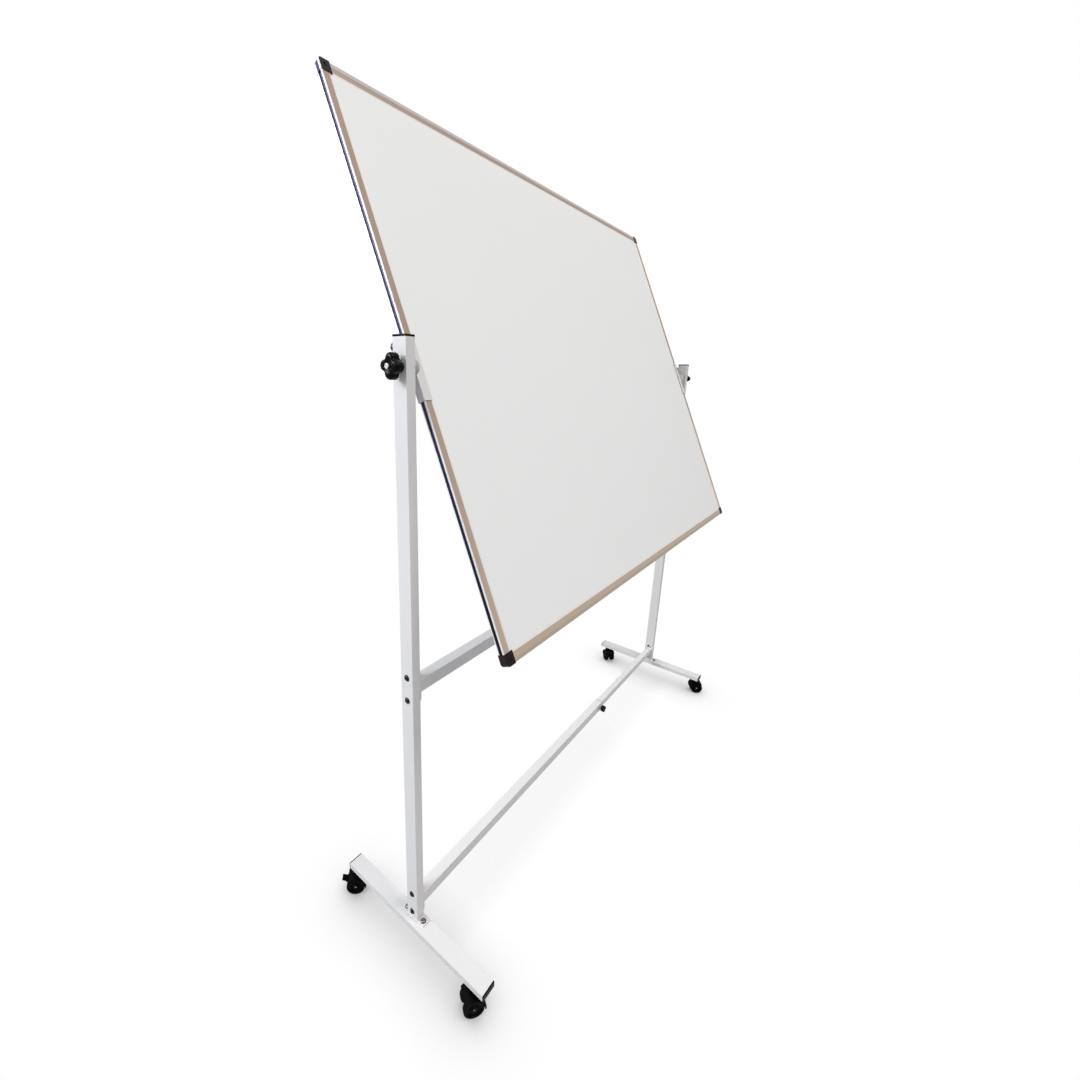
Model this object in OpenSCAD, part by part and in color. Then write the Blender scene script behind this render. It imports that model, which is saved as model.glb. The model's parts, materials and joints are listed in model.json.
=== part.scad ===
// Rolling whiteboard: a framed two-sided board that turns between two posts.
// The posts stand on castored feet and are joined by two telescopic crossbars.
// X runs along the board, -Y is the front, +Z is up, and the floor is at z = 0.
// "left" is the -X side. All sizes are in millimetres.

/* [Board] */
// Overall width of the framed board
board_w = 1500; // [1200:10:1800]
// Overall height of the framed board
board_h = 1200; // [900:10:1240]
// Lean of the board from upright, top to the back
board_lean = 24; // [0:0.1:40]
// Width of the frame rails, seen from the front
rail_w = 22; // [18:1:28]
// Thickness of the frame rails
rail_t = 15; // [14:0.5:18]
// Size of the square corner caps
corner_size = 25; // [23:1:34]

/* [Posts] */
// Width of a post along the board
post_w = 22; // [18:1:30]
// Depth of a post, front to back
post_d = 35; // [32:1:45]
// Gap between the board's edge and a post
side_gap = 16; // [14:0.5:24]
// Height of the pivots
pivot_z = 1408; // [1400:1:1500]
// Height of a post above its pivot
post_above = 55.5; // [54:0.5:80]
// Wall of all the steel tubes
wall = 1.5; // [1.2:0.1:2]

/* [Feet] */
// Length of a foot, front to back
foot_len = 480; // [420:10:640]
// Width of a foot
foot_w = 40; // [36:1:50]
// Height of a foot's tube
foot_t = 16; // [14:1:22]
// How far a foot is set outward of its post
foot_out = 5; // [0:1:8]

/* [Crossbars] */
// Depth of the outer tubes, front to back
outer_d = 27; // [25:1:30]
// Height of the outer tubes
outer_h = 30; // [28:1:34]
// Height of the lower crossbar's centre line
lower_z = 132; // [130:1:200]
// Height of the middle crossbar's centre line
middle_z = 739; // [500:1:750]
// Share of the span that the outer tubes take up
outer_share = 0.65; // [0.55:0.01:0.7]
// Overlap of the inner and outer tubes at rest
tube_overlap = 250; // [220:10:300]

/* [Castors] */
// Radius of the wheels
wheel_r = 25; // [22:0.5:26]
// Width of one wheel
wheel_w = 14; // [12:0.5:18]
// How far the axle trails behind the stem
trail = 16; // [15:0.5:22]
// Height of the feet's undersides
castor_h = 66; // [62:1:70]
// Distance of a stem from the end of its foot
stem_inset = 28; // [24:1:40]

/* [Hidden] */

$fn = 64;
eps = 0.01;
gap = 0.3;
run_fit = 0.05;

// Posts and feet
inner_face = board_w / 2 + side_gap;
outer_face = inner_face + post_w;
post_x = inner_face + post_w / 2;
foot_x = post_x + foot_out;
post_top = pivot_z + post_above;
foot_top = castor_h + foot_t;
cap_t = 3;
top_cap_t = 4;
cap_lip = 0.5;
plug_len = 8;
plug_gap = 0.1;
base_plate_t = 3;
base_bolt_y = 27.5;
insert_low = 28;
insert_high = 42;
rear_bolt_up = 34;

// Fasteners
bolt_r = 4;
bolt_hole_r = 4.1;
head_r = 7.5;
head_h = 4.5;
socket_r = 2.9;
socket_deep = 2.5;
nut_r = 7.5;
nut_h = 6.5;
thread_past = 1.5;
rear_bolt_len = 20;
rear_boss_r = 8.3;
rear_boss_h = 9;

// Crossbars
end_plate_t = 3;
end_plate_w = 36;
flange_bolt_z = 28;
end_margin = 15;
span = 2 * inner_face;
outer_len = outer_share * span;
outer_end = -inner_face + outer_len;
slide_gap = 1;
inner_d = outer_d - 2 * wall - 2 * slide_gap;
inner_h = outer_h - 2 * wall - 2 * slide_gap;
bush_len = 30;
bush_lip = 1.5;
bush_clear = 0.15;
lock_x = outer_end - 15;
lock_r = 3;
lock_hole_r = 3.05;
lock_nut_r = 7.5;
lock_nut_h = 5;
lock_knob_r = 14;
lock_knob_t = 12.5;
lock_hub = 2.5;
lock_knob_gap = 1.5;
lock_knob_y = outer_d / 2 + lock_nut_h + lock_knob_gap + lock_hub;
lock_grip = 6;

// Pivots
stud_r = 5;
collar_r = 11;
channel_wall = 1.8;
channel_len = 130;
channel_flange = 20;
lug_r = 14;
washer_r = 13;
washer_t = 2;
knob_r = 24;
knob_body = 18;
knob_hub = 7;
knob_turn = 5;
lobe_share = 0.42;
valley_share = 0.7;
hub_share = 0.45;
stud_tip = 31;

// Board: its middle lies behind and above the pivots
board_back = 9;
board_up = 15;
core_t = 10;
sheet_t = 0.6;
lip_bevel = 4;
lip_drop = 1.2;
bead_w = 5;
bead_step = 0.6;
groove_w = 5;
groove_deep = 2.5;
rail_round = 2;
slot_deep = 11;
chamber_from = 4;
chamber_to = 9.5;
chamber_half = 5.6;
core_inset = 12;
cap_proud = 0.8;
corner_round = 9;
screw_r = 3.4;
screw_inset = 12;
screw_clear = 0.4;
screw_sunk = 1;
screw_deep = 3;
screw_slot_w = 0.8;
screw_slot_deep = 0.8;
screw_slot_share = 0.6;

// Castors
stem_y = foot_len / 2 - stem_inset;
pin_r = 4;
pin_len = 21;
collar_h = 3;
stem_collar_r = 13;
hood_gap = 1;
hood_t = 2.5;
hood_r = wheel_r + hood_gap + hood_t;
hood_from = 40;
hood_to = 190;
web_half = 5.5;
hub_r = 9;
arm_t = 1.2;
arm_gap = 0.2;
arm_w = 10;
arm_eye_r = 8;
arm_clear = 0.35;
hood_over = 0.8;
wheel_inner = web_half + arm_gap + arm_t + gap;
hood_half = wheel_inner + wheel_w + hood_over;
axle_r = 3;
neck_r = 12;
tread_round = 3;
dish_from = 8;
dish_to = 17;
dish_deep = 3;
pedal_from = 12;
pedal_to = 34;
pedal_half = 8;
pedal_out = 12;
pedal_t = 4;
// Swivel angle of each castor's trailing side, from +X
front_left_swivel = 145;
back_left_swivel = 135;
front_right_swivel = -60;
back_right_swivel = -135;

// Colours
powder = "whitesmoke";
black = "#1b1b1d";
zinc = "silver";
satin = "#b9b0a6";

// ---------- shared shapes ----------

// The +X side as modelled, or its mirror image on the -X side
module side(left) {
    if (left) mirror([1, 0, 0]) children();
    else children();
}

// A cylinder along X from x = a to x = b
module rod_x(a, b, r, sides = $fn) {
    translate([a, 0, 0]) rotate([0, 90, 0]) cylinder(r = r, h = b - a, $fn = sides);
}

// A cylinder along Y from y = a to y = b
module rod_y(a, b, r, sides = $fn) {
    translate([0, b, 0]) rotate([90, 0, 0]) cylinder(r = r, h = b - a, $fn = sides);
}

// A box centred on the Z axis that stands on z = 0
module block(x, y, z) {
    translate([-x / 2, -y / 2, 0]) cube([x, y, z]);
}

// A round-ended plate in the YZ plane, thickness t along +X
module round_plate(w, h, t) {
    straight = h / 2 - w / 2;
    rotate([90, 0, 90]) linear_extrude(t) {
        square([w, 2 * straight], center = true);
        for (s = [-1, 1]) translate([0, s * straight]) circle(w / 2);
    }
}

// A dome-headed socket bolt: head above z = 0, shank down to z = -len
module dome_bolt(len) {
    ball = (head_r * head_r + head_h * head_h) / (2 * head_h);
    difference() {
        intersection() {
            translate([0, 0, head_h - ball]) sphere(ball);
            cylinder(r = head_r + 1, h = head_h + 1);
        }
        translate([0, 0, head_h - socket_deep]) cylinder(r = socket_r, h = head_h, $fn = 6);
    }
    translate([0, 0, -len]) cylinder(r = bolt_r, h = len + eps);
}

// A hexagon nut on z = 0, its bore clear of the bolt
module hex_nut(r, h, bore) {
    difference() {
        cylinder(r = r, h = h, $fn = 6);
        translate([0, 0, -1]) cylinder(r = bore, h = h + 2);
    }
}

// The outline of a four-lobed knob: round lobes joined by round hollows
module lobe_outline(r) {
    lobe = lobe_share * r;
    valley = valley_share * r;
    reach = r - lobe;
    diag = sqrt(2) * reach;
    hollow = (valley * valley - diag * valley + reach * reach - lobe * lobe)
        / (2 * lobe + diag - 2 * valley);
    difference() {
        polygon([for (i = [0:7]) let (d = i % 2 == 0 ? reach : valley + hollow)
            d * [cos(45 * i), sin(45 * i)]]);
        for (a = [45:90:315]) rotate(a) translate([valley + hollow, 0]) circle(hollow);
    }
    for (a = [0:90:270]) rotate(a) translate([reach, 0]) circle(lobe);
}

// A hand knob: its lobes stand on z = 0 and a smaller hub hangs below them
module lobed_knob(r, body, hub) {
    rotate(knob_turn) linear_extrude(body) lobe_outline(r);
    translate([0, 0, -hub]) cylinder(r = hub_share * r, h = hub + eps);
}

// ---------- posts and feet, drawn on the +X side ----------

module post_tube() {
    low = foot_top + base_plate_t;
    tall = post_top - top_cap_t - low;
    difference() {
        translate([post_x, 0, low]) difference() {
            block(post_w, post_d, tall);
            translate([0, 0, -1]) block(post_w - 2 * wall, post_d - 2 * wall, tall + 2);
        }
        translate([0, 0, pivot_z]) rod_x(inner_face - 1, outer_face + 1, stud_r + run_fit);
        translate([post_x, 0, pivot_z + rear_bolt_up]) rod_y(0, post_d, bolt_hole_r);
        for (z = [lower_z, middle_z], s = [-1, 1]) translate([0, 0, z + s * flange_bolt_z])
            rod_x(inner_face - 1, outer_face + 1, bolt_hole_r);
    }
}

// The plate under a post and the flange plates at the ends of its crossbars
module plates() {
    difference() {
        translate([post_x, 0, foot_top])
            block(post_w, 2 * (base_bolt_y + head_r + 2), base_plate_t);
        for (s = [-1, 1]) translate([post_x, s * base_bolt_y, foot_top - 1])
            cylinder(r = bolt_hole_r, h = base_plate_t + 2);
    }
    for (z = [lower_z, middle_z]) end_plate(z);
}

module post_cap() {
    translate([post_x, 0, post_top - top_cap_t]) {
        block(post_w + 2 * cap_lip, post_d + 2 * cap_lip, top_cap_t);
        translate([0, 0, -plug_len])
            block(post_w - 2 * wall - 2 * plug_gap, post_d - 2 * wall - 2 * plug_gap, plug_len + eps);
    }
}

// The block in the top of a post that the pivot runs in
module post_insert() {
    difference() {
        translate([post_x, 0, pivot_z - insert_low])
            block(post_w - 2 * wall, post_d - 2 * wall, insert_low + insert_high);
        translate([0, 0, pivot_z]) rod_x(inner_face - 1, outer_face + 1, stud_r + run_fit);
        translate([post_x, 0, pivot_z + rear_bolt_up]) rod_y(-post_d, post_d, bolt_hole_r);
    }
}

module foot_tube() {
    tube_len = foot_len - 2 * cap_t;
    difference() {
        translate([foot_x, 0, castor_h]) block(foot_w, tube_len, foot_t);
        translate([foot_x, 0, castor_h + wall])
            block(foot_w - 2 * wall, tube_len + 2, foot_t - 2 * wall);
        for (s = [-1, 1]) {
            translate([post_x, s * base_bolt_y, castor_h - 1])
                cylinder(r = bolt_hole_r, h = foot_t + 2);
            translate([foot_x, s * stem_y, castor_h - 1])
                cylinder(r = bolt_hole_r, h = wall + 2);
        }
    }
}

module foot_caps() {
    for (s = [-1, 1]) translate([foot_x, 0, castor_h]) half_y(s)
        translate([0, foot_len / 2 - cap_t, 0]) {
            translate([-foot_w / 2, 0, 0]) cube([foot_w, cap_t, foot_t]);
            translate([-foot_w / 2 + wall + plug_gap, -plug_len, wall + plug_gap])
                cube([
                    foot_w - 2 * wall - 2 * plug_gap,
                    plug_len + eps,
                    foot_t - 2 * wall - 2 * plug_gap
                ]);
        }
}

// The +Y half as modelled, or its mirror image
module half_y(s) {
    if (s < 0) mirror([0, 1, 0]) children();
    else children();
}

// Dome bolts: crossbar flanges, base plate, and the post insert
module frame_bolts() {
    flange_len = post_w + end_plate_t + nut_h + thread_past;
    base_len = base_plate_t + foot_t + nut_h + thread_past;
    for (z = [lower_z, middle_z], s = [-1, 1])
        translate([outer_face, 0, z + s * flange_bolt_z]) rotate([0, 90, 0]) dome_bolt(flange_len);
    for (s = [-1, 1]) translate([post_x, s * base_bolt_y, foot_top + base_plate_t])
        dome_bolt(base_len);
    translate([post_x, post_d / 2, pivot_z + rear_bolt_up]) rotate([-90, 0, 0]) {
        cylinder(r = rear_boss_r, h = rear_boss_h);
        translate([0, 0, rear_boss_h]) dome_bolt(rear_boss_h + rear_bolt_len);
    }
}

module frame_nuts() {
    bore = bolt_r + run_fit;
    for (z = [lower_z, middle_z], s = [-1, 1])
        translate([inner_face - end_plate_t, 0, z + s * flange_bolt_z]) rotate([0, -90, 0])
            hex_nut(nut_r, nut_h, bore);
    for (s = [-1, 1]) {
        translate([post_x, s * base_bolt_y, castor_h - nut_h]) hex_nut(nut_r, nut_h, bore);
        translate([foot_x, s * stem_y, castor_h + wall]) hex_nut(nut_r, nut_h, bore);
    }
}

module castor_stems() {
    for (s = [-1, 1]) translate([foot_x, s * stem_y, castor_h]) {
        translate([0, 0, -collar_h]) cylinder(r = stem_collar_r, h = collar_h);
        translate([0, 0, -collar_h - pin_len]) cylinder(r = pin_r, h = pin_len + eps);
        cylinder(r = bolt_r, h = wall + nut_h + thread_past);
    }
}

module pivot_washer() {
    translate([0, 0, pivot_z]) difference() {
        rod_x(outer_face, outer_face + washer_t, washer_r);
        rod_x(outer_face - 1, outer_face + washer_t + 1, stud_r + run_fit);
    }
}

// ---------- crossbars ----------

// The flange plate at a crossbar's end, on the +X side's inner face
module end_plate(z) {
    tall = 2 * (flange_bolt_z + end_margin);
    translate([inner_face - end_plate_t, 0, z]) difference() {
        round_plate(end_plate_w, tall, end_plate_t);
        for (s = [-1, 1]) translate([0, 0, s * flange_bolt_z])
            rod_x(-1, end_plate_t + 1, bolt_hole_r);
    }
}

// A hollow tube along X from x = a to x = b
module tube_x(a, b, d, h) {
    translate([a, -d / 2, -h / 2]) difference() {
        cube([b - a, d, h]);
        translate([-1, wall, wall]) cube([b - a + 2, d - 2 * wall, h - 2 * wall]);
    }
}

module outer_tube(z) {
    translate([0, 0, z]) difference() {
        tube_x(-inner_face + end_plate_t, outer_end, outer_d, outer_h);
        translate([lock_x, 0, 0]) rod_y(-outer_d, 0, lock_hole_r);
    }
}

module inner_tube(z) {
    translate([0, 0, z])
        tube_x(outer_end - tube_overlap, inner_face - end_plate_t, inner_d, inner_h);
}

// The plastic collar in an outer tube's open end, which guides the inner tube
module tube_bush() {
    hole = [inner_d + 2 * bush_clear, inner_h + 2 * bush_clear];
    difference() {
        union() {
            translate([outer_end - bush_len, -outer_d / 2 + wall, -outer_h / 2 + wall])
                cube([bush_len, outer_d - 2 * wall, outer_h - 2 * wall]);
            translate([outer_end, -outer_d / 2, -outer_h / 2]) cube([bush_lip, outer_d, outer_h]);
        }
        translate([outer_end - bush_len - 1, -hole[0] / 2, -hole[1] / 2])
            cube([bush_len + bush_lip + 2, hole[0], hole[1]]);
        translate([lock_x, 0, 0]) rod_y(-outer_d, 0, lock_hole_r);
    }
}

module lock_nut() {
    translate([lock_x, -outer_d / 2, 0]) rotate([90, 0, 0])
        hex_nut(lock_nut_r, lock_nut_h, lock_hole_r);
}

module lock_knob(z) {
    translate([lock_x, -lock_knob_y, z]) rotate([90, 0, 0]) difference() {
        lobed_knob(lock_knob_r, lock_knob_t, lock_hub);
        translate([0, 0, -lock_hub - 1]) cylinder(r = lock_r, h = lock_hub + 1 + lock_grip);
    }
}

// The clamping screw moulded into a lock knob, its tip just clear of the inner tube
module lock_stud(z) {
    translate([lock_x, 0, z]) rod_y(-lock_knob_y - lock_grip, -inner_d / 2 - gap, lock_r);
}

// ---------- board, drawn upright about the pivot and then leaned ----------

module leaned() {
    translate([0, 0, pivot_z]) rotate([-board_lean, 0, 0]) children();
}

module on_board() {
    leaned() translate([0, board_back, board_up]) children();
}

// Half of a rail's section: u runs inward from the outer edge, n outward from the middle
module rail_half() {
    half = rail_t / 2;
    difference() {
        union() {
            translate([rail_round, 0]) square([bead_w - rail_round, half]);
            square([rail_round + eps, half - rail_round]);
            translate([rail_round, half - rail_round]) circle(rail_round);
            polygon([
                [bead_w - eps, 0], [rail_w, 0], [rail_w, half - bead_step - lip_drop],
                [rail_w - lip_bevel, half - bead_step], [bead_w - eps, half - bead_step]
            ]);
        }
        translate([-1, -1]) square([groove_deep + 1, groove_w / 2 + 1]);
        translate([chamber_from, -1]) square([chamber_to - chamber_from, chamber_half + 1]);
        translate([slot_deep, -1]) square([rail_w, core_t / 2 + 1]);
    }
}

module rail_section() {
    for (s = [0, 1]) mirror([0, s]) rail_half();
}

// A rail along +Z of the given length, outer edge at x = 0, going inward along +X
module rail(len) {
    translate([0, 0, -len / 2]) linear_extrude(len) rail_section();
}

module side_rail() {
    on_board() translate([-board_w / 2, 0, 0]) rail(board_h - 2 * corner_size);
}

module cross_rail() {
    rotate([0, 90, 0]) translate([-board_h / 2, 0, 0]) rail(board_w - 2 * corner_size);
}

// A flat panel from y = a to y = b, its corners cut away for the corner caps
module panel(inset, a, b) {
    w = board_w - 2 * inset;
    h = board_h - 2 * inset;
    notch = 2 * (corner_size - inset);
    on_board() difference() {
        translate([-w / 2, a, -h / 2]) cube([w, b - a, h]);
        for (x = [-1, 1], z = [-1, 1]) translate([x * w / 2, (a + b) / 2, z * h / 2])
            cube([notch, b - a + 2, notch], center = true);
    }
}

// One corner cap, drawn at the +X +Z corner, with plugs for the two rails' chambers
module corner_cap() {
    half = rail_t / 2 + cap_proud;
    edge = corner_size + cap_proud;
    plug_t = chamber_to - chamber_from - 2 * plug_gap;
    plug_w = 2 * (chamber_half - plug_gap);
    plug_at = -chamber_to + plug_gap;
    difference() {
        translate([board_w / 2 - corner_size, 0, board_h / 2 - corner_size]) rotate([90, 0, 0])
            linear_extrude(2 * half, center = true) {
                square([edge, edge - corner_round]);
                square([edge - corner_round, edge]);
                translate([edge - corner_round, edge - corner_round]) circle(corner_round);
            }
        translate([board_w / 2 - screw_inset, 0, board_h / 2 - screw_inset])
            rod_y(-half - 1, -half + screw_deep, screw_r + screw_clear);
    }
    translate([board_w / 2, -plug_w / 2, board_h / 2]) {
        translate([plug_at, 0, -corner_size - plug_len]) cube([plug_t, plug_w, plug_len + eps]);
        translate([-corner_size - plug_len, 0, plug_at]) cube([plug_len + eps, plug_w, plug_t]);
    }
}

module corner_screw() {
    face = rail_t / 2 + cap_proud;
    slot = 2 * screw_slot_share * screw_r;
    translate([board_w / 2 - screw_inset, 0, board_h / 2 - screw_inset]) difference() {
        rod_y(-face + screw_sunk, -face + screw_deep, screw_r);
        for (a = [0, 90]) rotate([0, a, 0]) translate([-slot / 2, -face, -screw_slot_w / 2])
            cube([slot, screw_sunk + screw_slot_deep, screw_slot_w]);
    }
}

module at_corners() {
    on_board() for (x = [0, 1], z = [0, 1]) mirror([x, 0, 0]) mirror([0, 0, z]) children();
}

// The U channel that wraps the +X edge of the board, set off from it by clear, with a
// round lug for the pivot stud
module channel(clear) {
    in_half = rail_t / 2 + clear;
    edge = board_w / 2 + clear;
    leaned() rod_x(edge, edge + channel_wall, lug_r);
    leaned() translate([0, board_back, -channel_len / 2]) {
        translate([edge, -in_half - channel_wall, 0])
            cube([channel_wall, 2 * (in_half + channel_wall), channel_len]);
        for (s = [0, 1]) mirror([0, s, 0])
            translate([edge - channel_flange, in_half, 0])
                cube([channel_flange + eps, channel_wall, channel_len]);
    }
}

// The pivot stud: a spacer collar welded to the channel, then a shank out past the knob
module pivot_stud(clear) {
    web = board_w / 2 + clear + channel_wall;
    translate([0, 0, pivot_z]) {
        rod_x(web, inner_face - gap, collar_r);
        rod_x(inner_face - gap - 1, outer_face + stud_tip, stud_r);
    }
}

module pivot_knob() {
    start = outer_face + washer_t + gap + knob_hub;
    difference() {
        translate([start, 0, pivot_z]) rotate([0, 90, 0]) lobed_knob(knob_r, knob_body, knob_hub);
        translate([0, 0, pivot_z]) rod_x(outer_face, start + knob_body + 1, stud_r + run_fit);
    }
}

// ---------- castors, drawn about the axle with the stem towards -X ----------

module sector(a, b, r) {
    polygon([[0, 0], for (i = [0:8]) let (t = a + (b - a) * i / 8) 2 * r * [cos(t), sin(t)]]);
}

module castor_housing() {
    axle_z = wheel_r;
    neck_top = castor_h - collar_h - gap - axle_z;
    difference() {
        union() {
            rotate([90, 0, 0]) linear_extrude(2 * web_half, center = true) {
                intersection() {
                    circle(hood_r);
                    sector(hood_from, hood_to, hood_r);
                }
                circle(hub_r);
            }
            rotate([90, 0, 0]) linear_extrude(2 * hood_half, center = true) intersection() {
                difference() {
                    circle(hood_r);
                    circle(wheel_r + hood_gap);
                }
                sector(hood_from, hood_to, hood_r);
            }
            translate([-trail, 0, 0]) cylinder(r = neck_r, h = neck_top);
        }
        for (s = [-1, 1]) rotate([90, 0, 0]) translate([0, 0, s * (web_half + wheel_w)])
            cylinder(r = wheel_r + hood_gap, h = 2 * wheel_w, center = true);
        translate([-trail, 0, neck_top - pin_len - 1])
            cylinder(r = pin_r + run_fit, h = pin_len + 2);
        rod_y(-web_half - 1, web_half + 1, axle_r + run_fit);
    }
}

module castor_wheels() {
    for (s = [0, 1]) mirror([0, s, 0]) translate([0, wheel_inner, 0]) rotate([-90, 0, 0])
        rotate_extrude() difference() {
            union() {
                square([wheel_r - tread_round, wheel_w]);
                translate([0, tread_round]) square([wheel_r, wheel_w - 2 * tread_round]);
                for (v = [tread_round, wheel_w - tread_round])
                    translate([wheel_r - tread_round, v]) circle(tread_round);
            }
            translate([0, -wheel_w]) square([axle_r + run_fit, 3 * wheel_w]);
            translate([dish_from, wheel_w - dish_deep]) square([dish_to - dish_from, wheel_w]);
        }
}

module castor_axle() {
    end = wheel_inner + wheel_w - 1;
    rod_y(-end, end, axle_r);
}

// The brake pedal: two thin arms on the axle and a pad and tab behind the wheels
module castor_brake() {
    mid = (pedal_from + pedal_to) / 2;
    pad_in = wheel_r + hood_gap;
    difference() {
        union() {
            for (s = [-1, 1]) rotate([90, 0, 0])
                translate([0, 0, s * (web_half + arm_gap + arm_t / 2)])
                    linear_extrude(arm_t, center = true) {
                        circle(arm_eye_r);
                        rotate(mid) translate([0, -arm_w / 2]) square([pad_in + 1, arm_w]);
                    }
            rotate([90, 0, 0]) linear_extrude(2 * pedal_half, center = true) {
                intersection() {
                    difference() {
                        circle(hood_r);
                        circle(pad_in);
                    }
                    sector(pedal_from, pedal_to, hood_r);
                }
                rotate(mid) translate([hood_r - 1, -pedal_t / 2]) square([pedal_out + 1, pedal_t]);
            }
        }
        rod_y(-hood_half, hood_half, axle_r + arm_clear);
    }
}

// Puts a castor's piece at the end of a foot, turned to its swivel angle
module at_castor(left, front, swivel) {
    translate([left ? -foot_x : foot_x, front ? -stem_y : stem_y, 0]) rotate(swivel)
        translate([trail, 0, wheel_r]) children();
}

// ---------- sub-parts ----------

module left_post() { color(powder) side(true) post_tube(); }
module right_post() { color(powder) side(false) post_tube(); }
module left_post_cap() { color(black) side(true) post_cap(); }
module right_post_cap() { color(black) side(false) post_cap(); }
module left_post_insert() { color(zinc) side(true) post_insert(); }
module right_post_insert() { color(zinc) side(false) post_insert(); }
module left_foot() { color(powder) side(true) foot_tube(); }
module right_foot() { color(powder) side(false) foot_tube(); }
module left_foot_caps() { color(black) side(true) foot_caps(); }
module right_foot_caps() { color(black) side(false) foot_caps(); }
module left_frame_bolts() { color(black) side(true) frame_bolts(); }
module right_frame_bolts() { color(black) side(false) frame_bolts(); }
module left_frame_nuts() {
    color(zinc) {
        side(true) frame_nuts();
        for (z = [lower_z, middle_z]) translate([0, 0, z]) lock_nut();
    }
}
module left_plates() { color(powder) side(true) plates(); }
module right_plates() { color(powder) side(false) plates(); }
module right_frame_nuts() { color(zinc) side(false) frame_nuts(); }
module left_castor_stems() { color(zinc) side(true) castor_stems(); }
module right_castor_stems() { color(zinc) side(false) castor_stems(); }
module left_pivot_washer() { color(zinc) side(true) pivot_washer(); }
module right_pivot_washer() { color(zinc) side(false) pivot_washer(); }
module lower_outer_tube() { color(powder) outer_tube(lower_z); }
module middle_outer_tube() { color(powder) outer_tube(middle_z); }
module lower_inner_tube() { color(powder) inner_tube(lower_z); }
module middle_inner_tube() { color(powder) inner_tube(middle_z); }
module tube_bushes() { color(black) for (z = [lower_z, middle_z]) translate([0, 0, z]) tube_bush(); }
module lower_lock_knob() { color(black) lock_knob(lower_z); }
module middle_lock_knob() { color(black) lock_knob(middle_z); }
module lower_lock_stud() { color(zinc) lock_stud(lower_z); }
module middle_lock_stud() { color(zinc) lock_stud(middle_z); }
module writing_sheet() { color("white") panel(rail_w, -core_t / 2 - sheet_t, -core_t / 2); }
module back_sheet() { color("white") panel(rail_w, core_t / 2, core_t / 2 + sheet_t); }
module board_core() { color("tan") panel(core_inset, -core_t / 2, core_t / 2); }
module top_rail() { color(satin) on_board() cross_rail(); }
module bottom_rail() { color(satin) on_board() mirror([0, 0, 1]) cross_rail(); }
module left_rail() { color(satin) side_rail(); }
module right_rail() { color(satin) mirror([1, 0, 0]) side_rail(); }
module corner_caps() { color(black) at_corners() corner_cap(); }
module corner_screws() { color(black) at_corners() corner_screw(); }
module left_channel() { color(powder) side(true) channel(0); }
module right_channel() { color(powder) side(false) channel(gap); }
module left_pivot_stud() { color(zinc) side(true) pivot_stud(0); }
module right_pivot_stud() { color(zinc) side(false) pivot_stud(gap); }
module left_pivot_knob() { color(black) side(true) pivot_knob(); }
module right_pivot_knob() { color(black) side(false) pivot_knob(); }
module front_left_housing() { color(black) at_castor(true, true, front_left_swivel) castor_housing(); }
module front_left_wheels() { color(black) at_castor(true, true, front_left_swivel) castor_wheels(); }
module front_left_axle() { color(zinc) at_castor(true, true, front_left_swivel) castor_axle(); }
module front_right_housing() { color(black) at_castor(false, true, front_right_swivel) castor_housing(); }
module front_right_wheels() { color(black) at_castor(false, true, front_right_swivel) castor_wheels(); }
module front_right_axle() { color(zinc) at_castor(false, true, front_right_swivel) castor_axle(); }
module back_left_housing() { color(black) at_castor(true, false, back_left_swivel) castor_housing(); }
module back_left_wheels() { color(black) at_castor(true, false, back_left_swivel) castor_wheels(); }
module back_left_axle() { color(zinc) at_castor(true, false, back_left_swivel) castor_axle(); }
module back_left_brake() { color(black) at_castor(true, false, back_left_swivel) castor_brake(); }
module back_right_housing() { color(black) at_castor(false, false, back_right_swivel) castor_housing(); }
module back_right_wheels() { color(black) at_castor(false, false, back_right_swivel) castor_wheels(); }
module back_right_axle() { color(zinc) at_castor(false, false, back_right_swivel) castor_axle(); }
module back_right_brake() { color(black) at_castor(false, false, back_right_swivel) castor_brake(); }

left_post();
left_post_cap();
left_foot();
left_foot_caps();
left_post_insert();
left_plates();
left_frame_bolts();
left_frame_nuts();
left_castor_stems();
left_pivot_washer();
lower_outer_tube();
middle_outer_tube();
tube_bushes();
right_post();
right_post_cap();
right_foot();
right_foot_caps();
right_post_insert();
right_plates();
right_frame_bolts();
right_frame_nuts();
right_castor_stems();
right_pivot_washer();
lower_inner_tube();
middle_inner_tube();
writing_sheet();
back_sheet();
board_core();
top_rail();
bottom_rail();
left_rail();
right_rail();
corner_caps();
corner_screws();
left_channel();
left_pivot_stud();
right_channel();
right_pivot_stud();
left_pivot_knob();
right_pivot_knob();
lower_lock_knob();
lower_lock_stud();
middle_lock_knob();
middle_lock_stud();
front_left_housing();
front_left_wheels();
front_left_axle();
back_left_housing();
back_left_wheels();
back_left_axle();
back_left_brake();
front_right_housing();
front_right_wheels();
front_right_axle();
back_right_housing();
back_right_wheels();
back_right_axle();
back_right_brake();
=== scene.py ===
import json
import math

import bpy
from mathutils import Matrix, Vector


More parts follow.
